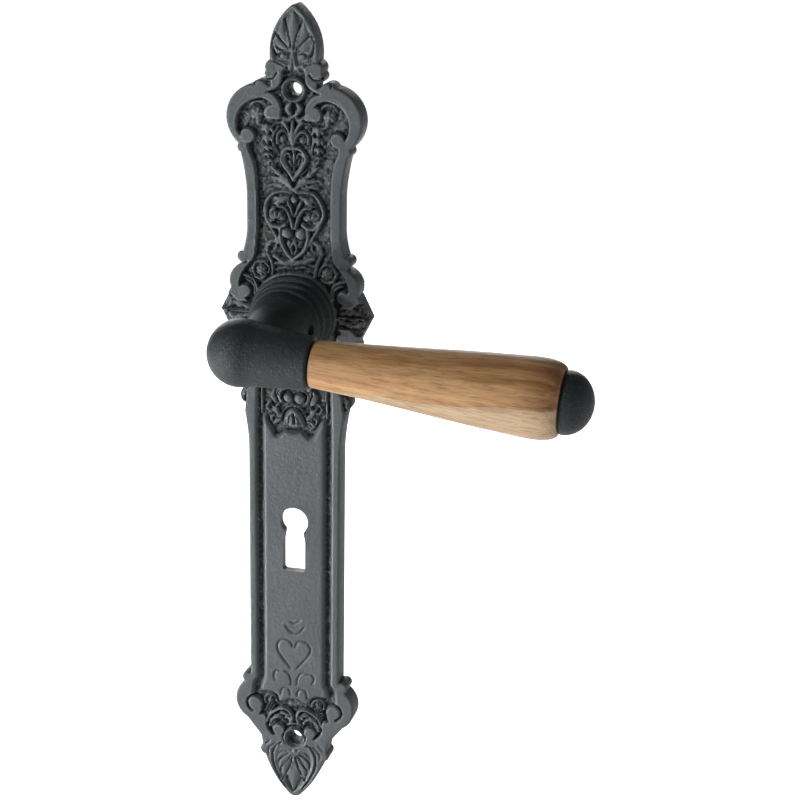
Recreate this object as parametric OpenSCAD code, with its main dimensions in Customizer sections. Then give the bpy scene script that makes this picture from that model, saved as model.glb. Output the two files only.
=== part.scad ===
// Antique door lever handle on a long cast backplate.
// Origin: the spindle axis where it meets the plate's rear mounting face.
// +X points towards the grip end, +Y into the door, +Z up. Millimetres.

/* [Backplate] */
// Height of the top leaf's tip above the spindle axis
top_tip = 100.2; // [98:0.1:125]
// Depth of the bottom leaf's tip below the spindle axis
bottom_tip = 175.3; // [172:0.5:215]
// Width of the straight part of the plate
plate_w = 31.6; // [30:0.2:38]
// Height of the cast edge, from the mounting face to the raised rim
plate_t = 7; // [6.5:0.1:9]
// Thickness of the front wall over the hollow back, under the raised rim
web_t = 3.2; // [2.8:0.1:4]
// Thickness of the cast side walls around the hollow back
wall_t = 2.4; // [1.8:0.1:3]
// Width of the raised rim
rim_w = 2.2; // [1.6:0.1:3]
// Depth of the decorated ground below the rim
ground_depth = 1; // [0.6:0.1:1.4]
// Width of the smooth raised panel
panel_w = 21.6; // [18:0.2:24]

/* [Keyhole and screw holes] */
// Distance from the spindle axis down to the centre of the keyhole's round part
key_spacing = 72; // [65:1:92]
// Radius of the keyhole's round part
key_r = 4.85; // [4.5:0.05:5.5]
// Width of the keyhole's slot
key_slot_w = 7.8; // [6.5:0.1:8.5]
// Length of the keyhole below the centre of its round part
key_drop = 18; // [15:0.5:22]
// Distance from the top leaf's tip down to the top screw hole
top_screw_inset = 26.7; // [26:0.1:30]
// Distance from the bottom leaf's tip up to the bottom screw hole
bottom_screw_inset = 22.3; // [21:0.5:26]
// Radius of the screw holes
screw_hole_r = 2.1; // [1.8:0.1:2.6]
// Radius of the countersink at its mouth
screw_sink_r = 3.3; // [3:0.1:4.2]

/* [Neck bearing] */
// Radius of the lever's turned journal
journal_r = 8; // [7:0.1:9]
// Radial running clearance of the journal in its bush
running_gap = 0.05; // [0.02:0.01:0.1]
// Wall of the bearing bush
bush_wall = 1.45; // [1:0.05:2]
// Outer radius of the collar ring's largest bead
collar_r = 14.1; // [13.5:0.1:16]
// Height of the collar ring above the plate's rim
collar_h = 8.2; // [7:0.1:9.5]
// Thickness of the thrust washer between collar and lever
thrust_t = 0.7; // [0.4:0.1:1]

/* [Lever] */
// Distance from the mounting face to the axis of the arm
arm_y = 52; // [46:1:62]
// How far the arm slopes down towards the grip, in degrees
arm_droop = 3.6; // [0:0.2:6]
// Radius of the round knuckle at the end of the neck
knuckle_r = 10.7; // [10:0.1:12]
// How far the knuckle's centre lies behind the spindle axis
knuckle_back = 3; // [0:0.5:6]
// Length of the iron arm from the spindle axis to its end face
arm_len = 19.6; // [17:0.2:26]
// Radius of the iron arm at its end face
arm_end_r = 8.3; // [8:0.1:9.5]
// Side of the square spindle
spindle_w = 8; // [7:0.5:8]
// Length of the spindle behind the mounting face
spindle_out = 50; // [35:1:80]
// Depth to which the spindle enters the neck, from the mounting face
spindle_in = 40; // [32:1:42]

/* [Grip] */
// Length of the wooden grip
grip_len = 77; // [65:1:100]
// Radius of the wood where it meets the iron arm
grip_start_r = 7.45; // [7:0.05:8.2]
// Largest radius of the wood
grip_max_r = 12.5; // [11.5:0.1:14]
// Radius of the wood's outer end and of the cap
cap_r = 9.8; // [9:0.1:11]
// Height of the domed cap
cap_h = 9.2; // [8:0.2:12]
// Radius of the threaded stud through the grip
stud_r = 3; // [2.5:0.1:3.2]

/* [Return spring] */
// Swing of the lever from rest to its lower stop, in degrees
swing = 40; // [30:1:45]
// Wire diameter of the spring
wire_d = 0.8; // [0.6:0.05:0.9]
// Radius of the spring's coil, to the middle of the wire
coil_r = 12.6; // [12.2:0.1:12.8]

/* [Hidden] */
$fn = 64;
eps = 0.01;

// outline of the plate
half_w = plate_w / 2;
leaf_half_w = 8;
leaf_h = 15.2;
leaf_nose_r = 1.5;
leaf_arc_r = leaf_side_r(leaf_half_w, leaf_h, leaf_nose_r);
leaf_base = top_tip - leaf_h;
drop_half_w = 12.2;
drop_h = 25.3;
drop_nose_r = 3;
drop_arc_r = leaf_side_r(drop_half_w, drop_h, drop_nose_r);
drop_base = bottom_tip - drop_h;
shoulder_z = leaf_base - 21;
foot_z = -(drop_base - 10.2);
spike_reach = 9.7;

// levels through the plate, as distances in front of the mounting face
web_back = plate_t - web_t;
top_screw_z = top_tip - top_screw_inset;
bottom_screw_z = -(bottom_tip - bottom_screw_inset);
sink_depth = 2.2;
boss_r = screw_sink_r + 1.9;

// layers of the return-spring housing, in front of the mounting face
pocket_r = 14.5;
ledge_r = 18.6;
cover_back = 0.8;
cover_t = 0.8;
driver_t = 1;
driver_gap = 0.15;
driver_front = web_back - driver_gap;
driver_back = driver_front - driver_t;
clip_gap = 0.05;
clip_t = 0.7;
clip_front = driver_back - clip_gap;
clip_back = clip_front - clip_t;
tail_r = journal_r - 1;
tail_flat = tail_r - 1;
tail_end = clip_back - 0.25;
groove_r = tail_r - 0.8;
spindle_corner_r = min(spindle_w * 0.715, groove_r - 0.5);
spring_y = driver_back - 0.1 - wire_d / 2;
driver_r = coil_r - 1.8;
lug_w = 4;
lug_r = pocket_r - 0.6;
lug_rest = -70;
pin_r = 1.1;
pin_circle = coil_r;
pin_offset = asin((lug_w / 2 + pin_r + 0.1) / pin_circle);
leg_offset = asin((lug_w / 2 + wire_d / 2 + 0.02) / coil_r);
leg_angle = lug_rest - leg_offset;
anchor_angle = lug_rest - swing - leg_offset - 14;
cover_screw_circle = (pocket_r + ledge_r) / 2;
cover_screw_r = 1.25;
cover_screw_angles = [30, 150, 270];

// collar and neck
bush_r = journal_r + running_gap + bush_wall;
spigot_r = bush_r + 1.5;
collar_front = plate_t + collar_h;
foot_back = collar_front + 0.1 + thrust_t;
foot_r = 12.2;
foot_front = foot_back + 3.2;
bell_r = 10.5;
bell_front = foot_front + 4.2;
neck_r = 8.8;
flare_r = 14;
flare_angle = acos((neck_r + flare_r - bell_r) / flare_r);
neck_y = bell_front + flare_r * sin(flare_angle);
socket_gap = 0.05;
set_screw_y = bell_front - 1;
set_screw_r = 2;

// along the arm, from the spindle axis
arm_root = 3;
arm_root_r = 9.7;
arm_washer_t = 0.5;
grip_start = arm_len + arm_washer_t;
grip_end = grip_start + grip_len;
grip_round = 7.2;
belly = grip_end - grip_round - 2;
cap_washer_t = 0.4;
cap_start = grip_end + cap_washer_t;
stud_start = 5;
stud_end = cap_start + cap_h - 2.6;
nut_h = 5;
nut_af = 10;
dowel_r = 1.25;
dowel_side = 5.1;
dowel_half = 4.5;

// ---- helpers ----

// Draws a flat shape's x and y on the plate's X and Z, from one distance in front of the
// mounting face to another.
module plate_slab(from, to) {
    rotate([90, 0, 0])
        translate([0, 0, from])
            linear_extrude(to - from)
                children();
}

// A disc or a rod along Y, between two distances in front of the mounting face.
module y_rod(r, from, to) {
    rotate([90, 0, 0])
        translate([0, 0, from])
            cylinder(r = r, h = to - from);
}

// Turns a half profile of [radius, distance in front of the mounting face] round Y.
module y_turned(profile) {
    rotate([90, 0, 0])
        rotate_extrude()
            polygon(profile);
}

// Puts shapes drawn along +Z onto the arm's axis.
module on_arm() {
    translate([0, -arm_y, 0])
        rotate([0, 90 + arm_droop, 0])
            children();
}

// Both sides of the plate.
module both_sides() {
    children();
    mirror([1, 0, 0])
        children();
}

// Points of an arc about a centre.
function arc(cx, cy, r, a0, a1, n = 12) =
    [for (i = [0:n]) [cx + r * cos(a0 + (a1 - a0) * i / n), cy + r * sin(a0 + (a1 - a0) * i / n)]];

// Radius of the two side arcs of a leaf of a given half width and height, whose point is
// rounded to a nose.
function leaf_side_r(half_width, height, nose_r) =
    (pow(height - nose_r, 2) / (half_width - nose_r) + half_width + nose_r) / 2;

// ---- plate outline ----

// A pointed leaf between two arcs that meet on the plate's axis.
module leaf_arc(arc_r, half_width) {
    intersection() {
        translate([arc_r - half_width, 0]) circle(r = arc_r, $fn = 96);
        translate([half_width - arc_r, 0]) circle(r = arc_r, $fn = 96);
    }
}

// The free end of such a leaf: the outline itself has its point rounded to a nose that
// the arcs run into, and an outline drawn in from it keeps a sharp point.
module leaf_tip(arc_r, half_width, height, nose_r, inset) {
    overlap = 0.04;
    nose_z = height - nose_r;
    top = inset > 0 ? nose_z : nose_z * arc_r / (arc_r - nose_r);
    intersection() {
        leaf_arc(arc_r - inset, half_width - inset);
        translate([-half_width, -6]) square([2 * half_width, top + 6]);
    }
    if (inset == 0)
        translate([0, nose_z - overlap]) circle(r = nose_r + overlap);
}

// The flare of the plate's right side between two heights, on a hollow arc that leaves the
// straight side a little past the first of them.
module side_flare(start_z, end_z, arc_r, inset) {
    overlap = 0.1;
    rise = abs(end_z - start_z);
    difference() {
        translate([half_w - 6, min(start_z, end_z)])
            square([6 - overlap + arc_r - sqrt(arc_r * arc_r - rise * rise), rise]);
        translate([half_w + arc_r - overlap, start_z]) circle(r = arc_r + inset, $fn = 96);
    }
}

// The spike and scroll beside the collar, on the right and above the spindle axis.
module side_scroll(inset) {
    reach = half_w + spike_reach - inset * 1.6;
    translate([half_w - 0.3, 10]) circle(r = 6.5 - inset);
    polygon([[0, 0], [reach, 0], [half_w + 5.9 - inset, 7.6 - inset * 0.5], [half_w, 9], [0, 9]]);
}

// The small ears, knobs and leaf tips that stand out of the plate's edge.
module edge_bumps() {
    both_sides() {
        translate([6.9, leaf_base - 4.6]) circle(r = 2.6);
        translate([7.9, leaf_base - 7.2]) circle(r = 1.9);
        translate([11.2, leaf_base - 11.4]) circle(r = 2.7);
        translate([half_w + 1.2, shoulder_z - 9.6]) circle(r = 1.9);
        for (z = [18.4, -18.4])
            translate([half_w + 1.5, z]) circle(r = 1.9);
        translate([half_w + 0.5, -29.3]) circle(r = 2.9);
        translate([half_w + 1.1, foot_z + 8.2]) circle(r = 1.9);
        translate([drop_half_w - 1.8, -drop_base - 8.3]) circle(r = 2);
    }
}

// The plate's outline without its bumps, drawn in by a distance all round.
module plate_outline(inset = 0) {
    translate([inset - half_w, foot_z])
        square([plate_w - 2 * inset, shoulder_z - foot_z]);
    both_sides() {
        side_flare(shoulder_z - 28, shoulder_z - 10, 67, inset);
        side_flare(30, 18.4, 32, inset);
        side_flare(-50, -31, 85, inset);
    }
    // top: leaf and bulges
    translate([0, leaf_base])
        leaf_tip(leaf_arc_r, leaf_half_w, leaf_h, leaf_nose_r, inset);
    translate([inset - leaf_half_w + 0.3, shoulder_z - 5])
        square([2 * (leaf_half_w - inset) - 0.6, leaf_base - shoulder_z + 5]);
    both_sides()
        translate([half_w - 4.4, shoulder_z]) circle(r = 11.1 - inset);
    // round the collar: scrolls and spikes above and below the spindle axis
    both_sides() {
        side_scroll(inset);
        mirror([0, 1]) side_scroll(inset);
    }
    // bottom: bulges and the hanging leaf
    both_sides() {
        translate([half_w - 2.8, foot_z]) circle(r = 8.2 - inset);
        polygon([[-1, foot_z + 5], [half_w + 3.3 - inset * 1.4, foot_z - 4.6],
                 [drop_half_w - 0.7 - inset, -drop_base - 3.9], [-1, -drop_base - 3.9]]);
    }
    translate([0, -drop_base])
        mirror([0, 1]) leaf_tip(drop_arc_r, drop_half_w, drop_h, drop_nose_r, inset);
}

// The warded keyhole: a circle over a slot with a narrow throat.
module keyhole_outline(grow = 0) {
    slot_half = key_slot_w / 2;
    throat = slot_half - 0.55;
    corner = 0.7;
    translate([0, -key_spacing]) circle(r = key_r + grow);
    polygon([[-throat - grow, -key_spacing], [throat + grow, -key_spacing],
             [throat + grow, -key_spacing - 4.2], [slot_half + grow, -key_spacing - 7],
             [slot_half + grow, corner - key_spacing - key_drop - grow],
             [slot_half - corner + grow, -key_spacing - key_drop - grow],
             [corner - slot_half - grow, -key_spacing - key_drop - grow],
             [-slot_half - grow, corner - key_spacing - key_drop - grow],
             [-slot_half - grow, -key_spacing - 7], [-throat - grow, -key_spacing - 4.2]]);
}

// ---- pieces fixed to the plate ----

module backplate() {
    color([0.27, 0.28, 0.29])
        difference() {
            union() {
                difference() {
                    plate_slab(0, plate_t) {
                        plate_outline();
                        edge_bumps();
                    }
                    plate_slab(-1, web_back) plate_outline(wall_t);
                    plate_slab(plate_t - ground_depth, plate_t + 1)
                        difference() {
                            plate_outline(rim_w);
                            translate([-panel_w / 2, foot_z])
                                square([panel_w, -36 - foot_z]);
                            circle(r = collar_r + 1.2);
                        }
                }
                y_rod(ledge_r + 1.4, 0, web_back + eps);
                for (z = [top_screw_z, bottom_screw_z])
                    translate([0, 0, z]) {
                        y_rod(boss_r, 0, plate_t - ground_depth);
                        y_rod(screw_sink_r + 0.6, 0, plate_t);
                    }
            }
            // keyhole
            plate_slab(-1, plate_t + 1) keyhole_outline();
            // screw holes with their countersinks
            for (z = [top_screw_z, bottom_screw_z])
                translate([0, 0, z]) {
                    y_rod(screw_hole_r, -1, plate_t + 1);
                    y_turned([[0, plate_t - sink_depth], [screw_hole_r, plate_t - sink_depth],
                              [screw_sink_r, plate_t - 0.6], [screw_sink_r, plate_t + 1],
                              [0, plate_t + 1]]);
                }
            // bore for the collar ring, spring pocket and cover ledge
            y_rod(spigot_r, -1, plate_t + 1);
            y_rod(pocket_r, -1, web_back);
            y_rod(ledge_r + 0.1, -1, cover_back + cover_t);
            // holes for the stop pins, the spring's fixed leg and the cover's screws
            for (a = [lug_rest + pin_offset, lug_rest - swing - pin_offset])
                rotate([0, -a, 0]) translate([pin_circle, 0, 0])
                    y_rod(pin_r, web_back - eps, web_back + 1.8);
            rotate([0, -anchor_angle, 0]) translate([coil_r, 0, 0])
                y_rod(wire_d / 2 + 0.1, web_back - eps, web_back + 1.4);
            for (a = cover_screw_angles)
                rotate([0, -a, 0]) translate([cover_screw_circle, 0, 0])
                    y_rod(cover_screw_r, cover_back, web_back + 1.2);
        }
}

module collar_ring() {
    low_bead = 1.5;
    top_bead = 1.4;
    top_r = collar_r - 1.2;
    low_y = plate_t + 2.6;
    top_y = collar_front - 1.9;
    color([0.11, 0.12, 0.12])
        y_turned(concat(
            [[bush_r, web_back], [spigot_r, web_back], [spigot_r, plate_t], [collar_r - 0.9, plate_t]],
            arc(collar_r - low_bead, low_y, low_bead, -50, 80, 10),
            [[top_r - 0.7, low_y + 1.9]],
            arc(top_r - top_bead, top_y, top_bead, -50, 80, 10),
            [[top_r - 2, collar_front], [bush_r, collar_front]]));
}

module bearing_bush() {
    color([0.72, 0.55, 0.3])
        difference() {
            y_rod(bush_r, web_back, collar_front);
            y_rod(journal_r + running_gap, web_back - 1, collar_front + 1);
        }
}

module stop_pins() {
    color([0.6, 0.61, 0.62])
        for (a = [lug_rest + pin_offset, lug_rest - swing - pin_offset])
            rotate([0, -a, 0]) translate([pin_circle, 0, 0])
                y_rod(pin_r, driver_back, web_back + 1.8);
}

module return_spring() {
    past_leg = asin(wire_d * 0.6 / coil_r);
    coil_angle = 360 + anchor_angle - leg_angle + 2 * past_leg;
    leg_r = wire_d * 0.46;
    color([0.5, 0.5, 0.52]) {
        rotate([90, 0, 0]) translate([0, 0, spring_y])
            rotate([0, 0, leg_angle - past_leg])
                rotate_extrude(angle = coil_angle)
                    translate([coil_r, 0]) circle(r = wire_d / 2);
        for (leg = [[leg_angle, driver_front - 0.2], [anchor_angle, web_back + 1.3]])
            rotate([0, -leg[0], 0]) translate([coil_r, 0, 0])
                y_rod(leg_r, spring_y, leg[1]);
    }
}

module spring_cover() {
    color([0.66, 0.67, 0.68])
        difference() {
            y_rod(ledge_r, cover_back, cover_back + cover_t);
            y_rod(tail_r + 0.4, cover_back - 1, cover_back + cover_t + 1);
            for (a = cover_screw_angles)
                rotate([0, -a, 0]) translate([cover_screw_circle, 0, 0])
                    y_rod(cover_screw_r, cover_back - 1, cover_back + cover_t + 1);
        }
}

module cover_screws() {
    head_r = 2;
    slot_w = 0.5;
    color([0.62, 0.6, 0.5])
        for (a = cover_screw_angles)
            rotate([0, -a, 0]) translate([cover_screw_circle, 0, 0])
                difference() {
                    union() {
                        y_rod(cover_screw_r, cover_back - eps, web_back + 1);
                        y_rod(head_r, 0.1, cover_back);
                    }
                    translate([-head_r - 1, -0.45, -slot_w / 2]) cube([2 * head_r + 2, 1, slot_w]);
                }
}

// ---- pieces that turn with the lever ----

// The tail's round end with its two flats, on which the driver disc sits.
module tail_section(grow = 0) {
    intersection() {
        circle(r = tail_r + grow);
        square([2 * (tail_flat + grow), 2 * (tail_r + grow)], center = true);
    }
}

// The spindle's square section with its corners turned off.
module spindle_section(grow = 0) {
    intersection() {
        square(spindle_w + 2 * grow, center = true);
        circle(r = spindle_corner_r + grow);
    }
}

module lever_body() {
    arm_start = -knuckle_back;
    color([0.1, 0.105, 0.11])
        difference() {
            union() {
                // tail, journal, foot ring, bell and neck
                plate_slab(tail_end, driver_front + eps) tail_section();
                y_turned(concat(
                    [[0, driver_front], [journal_r, driver_front], [journal_r, foot_back],
                     [foot_r - 0.6, foot_back]],
                    arc(foot_r - 1.5, foot_back + 1.6, 1.5, -60, 70, 8),
                    [[foot_r - 1.1, foot_front + 0.2], [bell_r, bell_front]],
                    arc(neck_r + flare_r, neck_y, flare_r, 180 + flare_angle, 180, 8),
                    [[neck_r, arm_y], [0, arm_y]]));
                // round knuckle and tapering arm
                on_arm() {
                    translate([0, 0, arm_start]) sphere(r = knuckle_r);
                    rotate_extrude()
                        polygon([[0, arm_start], [knuckle_r, arm_start], [arm_root_r, arm_root],
                                 [arm_end_r, arm_len - 0.5], [arm_end_r - 0.5, arm_len],
                                 [0, arm_len]]);
                }
            }
            // groove for the retaining ring
            difference() {
                y_rod(tail_r + 1, clip_back - clip_gap, clip_front);
                y_rod(groove_r, clip_back - 1, clip_front + 1);
            }
            // square socket for the spindle, threaded hole for its set screw
            plate_slab(-0.5, spindle_in + 0.5) spindle_section(socket_gap);
            translate([0, -set_screw_y, 0]) rotate([0, 90, 0])
                cylinder(r = set_screw_r, h = foot_r + 2);
            // holes for the grip's stud and dowel
            on_arm() {
                translate([0, 0, stud_start]) cylinder(r = stud_r, h = arm_len);
                translate([dowel_side, 0, arm_len - dowel_half])
                    cylinder(r = dowel_r, h = dowel_half + 1);
            }
        }
}

module thrust_washer() {
    color([0.85, 0.83, 0.78])
        difference() {
            y_rod(foot_r - 1, foot_back - thrust_t, foot_back);
            y_rod(journal_r + 0.1, foot_back - thrust_t - 1, foot_back + 1);
        }
}

module spindle() {
    chamfer = 1;
    color([0.68, 0.69, 0.7])
        intersection() {
            plate_slab(-spindle_out, spindle_in) spindle_section();
            y_turned([[0, -spindle_out], [spindle_corner_r - chamfer, -spindle_out],
                      [spindle_corner_r + 1, 2 * chamfer - spindle_out],
                      [spindle_corner_r + 1, spindle_in + 1], [0, spindle_in + 1]]);
        }
}

module spindle_screw() {
    inner = spindle_w / 2 + socket_gap;
    length = 4.4;
    hex_r = 1.15;
    color([0.07, 0.07, 0.08])
        translate([inner, -set_screw_y, 0]) rotate([0, 90, 0])
            difference() {
                cylinder(r = set_screw_r, h = length);
                translate([0, 0, length - 2]) cylinder(r = hex_r, h = 3, $fn = 6);
            }
}

module driver_disc() {
    color([0.6, 0.62, 0.63])
        plate_slab(driver_back, driver_front)
            difference() {
                union() {
                    circle(r = driver_r);
                    rotate(lug_rest) translate([0, -lug_w / 2]) square([lug_r, lug_w]);
                }
                tail_section(0.03);
            }
}

module retaining_ring() {
    ear_r = 1.3;
    ring_r = tail_r + 1.4;
    open_angle = 24;
    color([0.4, 0.41, 0.43])
        plate_slab(clip_back, clip_front - 0.02)
            difference() {
                union() {
                    circle(r = ring_r);
                    for (a = [90 - open_angle, 90 + open_angle])
                        rotate(a) translate([ring_r - 0.3, 0]) circle(r = ear_r);
                }
                circle(r = groove_r + 0.05);
                polygon([[0, 0], [20 * cos(90 - open_angle * 0.6), 20 * sin(90 - open_angle * 0.6)],
                         [20 * cos(90 + open_angle * 0.6), 20 * sin(90 + open_angle * 0.6)]]);
                for (a = [90 - open_angle, 90 + open_angle])
                    rotate(a) translate([ring_r, 0]) circle(r = 0.5);
            }
}

module grip_stud() {
    color([0.62, 0.63, 0.64])
        on_arm()
            translate([0, 0, stud_start + 0.5]) cylinder(r = stud_r, h = stud_end - stud_start - 0.5);
}

module arm_washer() {
    color([0.05, 0.05, 0.05])
        on_arm()
            translate([0, 0, arm_len])
                difference() {
                    cylinder(r = grip_start_r - 0.5, h = arm_washer_t);
                    translate([0, 0, -1]) cylinder(r = stud_r + 0.1, h = 3);
                    translate([dowel_side, 0, -1]) cylinder(r = dowel_r + 0.1, h = 3);
                }
}

// Radius of the wood at a share of the way from its start to its thickest place.
function grip_r(t) = grip_start_r + (grip_max_r - grip_start_r) * (t - 0.03 * sin(360 * t));

module wooden_grip() {
    steps = 18;
    edge = 0.5;
    end_r = cap_r + 0.2;
    round_start = grip_end - grip_round;
    color([0.74, 0.55, 0.35])
        on_arm()
            difference() {
                rotate_extrude()
                    polygon(concat(
                        [[0, grip_start], [grip_start_r - edge, grip_start]],
                        [for (i = [0:steps])
                            [grip_r(i / steps), grip_start + edge + (belly - grip_start - edge) * i / steps]],
                        [for (a = [0:10:90])
                            [end_r + (grip_max_r - end_r) * cos(a), round_start + grip_round * sin(a)]],
                        [[0, grip_end]]));
                translate([0, 0, grip_start - 1]) cylinder(r = stud_r + 0.2, h = grip_len + 2);
                translate([0, 0, grip_end - nut_h - 0.6]) cylinder(r = nut_af * 0.62, h = nut_h + 2);
                translate([dowel_side, 0, grip_start - 1]) cylinder(r = dowel_r, h = dowel_half + 1.2);
            }
}

module grip_dowel() {
    color([0.65, 0.66, 0.67])
        on_arm()
            translate([dowel_side, 0, arm_len - dowel_half + 0.1])
                cylinder(r = dowel_r, h = 2 * dowel_half - 0.2);
}

module grip_nut() {
    color([0.62, 0.63, 0.64])
        on_arm()
            translate([0, 0, grip_end - nut_h - 0.6])
                difference() {
                    cylinder(r = nut_af / sqrt(3), h = nut_h, $fn = 6);
                    translate([0, 0, -1]) cylinder(r = stud_r, h = nut_h + 2);
                }
}

module cap_washer() {
    color([0.05, 0.05, 0.05])
        on_arm()
            translate([0, 0, grip_end])
                difference() {
                    cylinder(r = cap_r - 0.5, h = cap_washer_t);
                    translate([0, 0, -1]) cylinder(r = stud_r + 0.1, h = 3);
                }
}

module grip_cap() {
    rim = 0.8;
    color([0.09, 0.095, 0.1])
        on_arm()
            translate([0, 0, cap_start])
                difference() {
                    rotate_extrude()
                        polygon(concat(
                            [[0, 0], [cap_r - 0.3, 0], [cap_r, 0.3]],
                            [for (a = [0:6:90]) [cap_r * cos(a), rim + (cap_h - rim) * sin(a)]]));
                    translate([0, 0, -1]) cylinder(r = stud_r, h = stud_end - cap_start + 1.3);
                }
}

backplate();
collar_ring();
bearing_bush();
stop_pins();
return_spring();
spring_cover();
cover_screws();
lever_body();
thrust_washer();
spindle();
spindle_screw();
driver_disc();
retaining_ring();
grip_stud();
arm_washer();
wooden_grip();
grip_dowel();
grip_nut();
cap_washer();
grip_cap();
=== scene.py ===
"""Looks of an antique door lever handle on an ornate cast backplate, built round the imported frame.

Row frame: +X towards the grip's end, +Y into the door, +Z up, origin on the spindle axis where it
meets the mounting face. Ornament is drawn in millimetres and written to the meshes in metres.
"""
import math

import bmesh
import bpy
import numpy as np
from mathutils import Matrix, Vector


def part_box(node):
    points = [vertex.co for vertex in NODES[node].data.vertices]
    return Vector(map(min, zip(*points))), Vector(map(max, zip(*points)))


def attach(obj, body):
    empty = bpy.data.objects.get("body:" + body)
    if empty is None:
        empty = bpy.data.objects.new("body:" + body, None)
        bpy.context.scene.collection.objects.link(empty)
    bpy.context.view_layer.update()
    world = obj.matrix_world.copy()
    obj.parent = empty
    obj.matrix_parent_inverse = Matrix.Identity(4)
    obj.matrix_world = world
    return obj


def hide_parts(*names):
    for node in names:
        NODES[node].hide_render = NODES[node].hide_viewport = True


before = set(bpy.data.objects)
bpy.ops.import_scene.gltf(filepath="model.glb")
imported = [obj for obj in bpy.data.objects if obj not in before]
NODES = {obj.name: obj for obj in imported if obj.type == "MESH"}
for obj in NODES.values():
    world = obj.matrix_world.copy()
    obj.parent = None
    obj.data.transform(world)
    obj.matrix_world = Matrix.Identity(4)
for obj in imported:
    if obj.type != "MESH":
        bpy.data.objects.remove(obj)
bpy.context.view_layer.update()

MM = 0.001


def size_mm(node, corner, axis):
    """One coordinate of a CAD node's box, in millimetres."""
    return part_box(node)[corner][axis] / MM


PLATE_T = -size_mm("backplate", 0, 1)
TOP_TIP = size_mm("backplate", 1, 2)
BOTTOM_TIP = -size_mm("backplate", 0, 2)
COLLAR_R = size_mm("collar_ring", 1, 2)
# the screw holes lie this far from the plate's two tips
TOP_INSET, BOTTOM_INSET = 26.7, 22.3
SCREWS = (TOP_TIP - TOP_INSET, BOTTOM_INSET - BOTTOM_TIP)
# floor of the decorated fields, and how much their ornament is raised and widened over its drawn sizes
GROUND = PLATE_T - 2.0
HIGHER = 1.33
BROADER = 1.25
# spacing of the front sheet's points
PITCH = 0.35
# the arm's axis: how far it stands out from the door, and how far it slopes down
ARM_Y = 52.0
DROOP = math.radians(3.6)


# ---------------------------------------------------------------- meshes

def new_object(name, points_mm, faces):
    """A mesh object from points in millimetres and a list of faces."""
    mesh = bpy.data.meshes.new(name)
    mesh.from_pydata((np.asarray(points_mm, float) * MM).tolist(), [], faces)
    mesh.update()
    thing = bpy.data.objects.new(name, mesh)
    bpy.context.scene.collection.objects.link(thing)
    return thing


def smooth(thing, angle=40):
    """Smooth shading that keeps edges sharper than an angle."""
    mesh = thing.data
    mesh.polygons.foreach_set("use_smooth", [True] * len(mesh.polygons))
    mesh.set_sharp_from_angle(angle=math.radians(angle))


def cad_triangles(node):
    """A CAD node's welded points in millimetres and its triangles."""
    mesh = NODES[node].data
    co = np.empty(len(mesh.vertices) * 3)
    mesh.vertices.foreach_get("co", co)
    mesh.calc_loop_triangles()
    corners = np.empty(len(mesh.loop_triangles) * 3, int)
    mesh.loop_triangles.foreach_get("vertices", corners)
    microns = np.round(co.reshape(-1, 3) / MM * 1000).astype(int)
    points, index = np.unique(microns, axis=0, return_inverse=True)
    tris = index.reshape(-1)[corners].reshape(-1, 3)
    flat = (tris[:, 0] == tris[:, 1]) | (tris[:, 1] == tris[:, 2]) | (tris[:, 2] == tris[:, 0])
    return points / 1000.0, tris[~flat]


def open_loops(faces):
    """The loops of vertices round the open edges of a list of faces."""
    edges = set()
    for face in faces:
        for a, b in zip(face, list(face[1:]) + [face[0]]):
            edges.add((int(a), int(b)))
    following = {}
    for a, b in edges:
        if (b, a) not in edges:
            following.setdefault(a, []).append(b)
    loops = []
    while following:
        start = min(following)
        loop = [start]
        while True:
            here = loop[-1]
            onward = following[here].pop()
            if not following[here]:
                del following[here]
            if onward == start:
                break
            loop.append(onward)
        loops.append(loop)
    return loops


def zip_loops(points, first, second):
    """Triangles between two loops of vertices that run round the same outline."""
    flat = points[:, [0, 2]]

    def area(loop):
        x, z = flat[loop].T
        return float(np.sum(x * np.roll(z, -1) - np.roll(x, -1) * z))

    if area(first) * area(second) < 0:
        second = second[::-1]
    nearest = int(np.argmin(np.linalg.norm(flat[second] - flat[first[0]], axis=1)))
    second = second[nearest:] + second[:nearest]
    a, b = first + [first[0]], second + [second[0]]
    i = j = 0
    faces = []
    while i < len(a) - 1 or j < len(b) - 1:
        step_a = step_b = math.inf
        if i < len(a) - 1:
            step_a = np.linalg.norm(flat[a[i + 1]] - flat[b[j]])
        if j < len(b) - 1:
            step_b = np.linalg.norm(flat[b[j + 1]] - flat[a[i]])
        if step_a <= step_b:
            faces.append((a[i], a[i + 1], b[j]))
            i += 1
        else:
            faces.append((a[i], b[j + 1], b[j]))
            j += 1
    return faces


# ---------------------------------------------------------------- drawing tools for the relief

def curve(points, steps=8, closed=False):
    """A smooth line through a few points."""
    p = np.asarray(points, float)
    if closed:
        p = np.vstack([p[-1], p, p[:2]])
    else:
        p = np.vstack([2 * p[0] - p[1], p, 2 * p[-1] - p[-2]])
    t = np.linspace(0, 1, steps, endpoint=False)[:, None]
    out = []
    for a, b, c, d in zip(p, p[1:], p[2:], p[3:]):
        out.append(b + 0.5 * t * (c - a) + t * t * (a - 2.5 * b + 2 * c - 0.5 * d)
                   + 0.5 * t ** 3 * (3 * (b - c) + d - a))
    if not closed:
        out.append(p[-2:-1])
    return np.vstack(out)


def oval(cx, cz, rx, rz, a0, a1, steps):
    """Points on part of an ellipse, by angles in degrees."""
    a = np.radians(np.linspace(a0, a1, steps))
    return np.stack([cx + rx * np.cos(a), cz + rz * np.sin(a)], 1)


def ring(cx, cz, r, a0=0.0, a1=360.0, steps=28):
    """Points on an arc, by angles in degrees."""
    return oval(cx, cz, r, r, a0, a1, steps)


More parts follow.
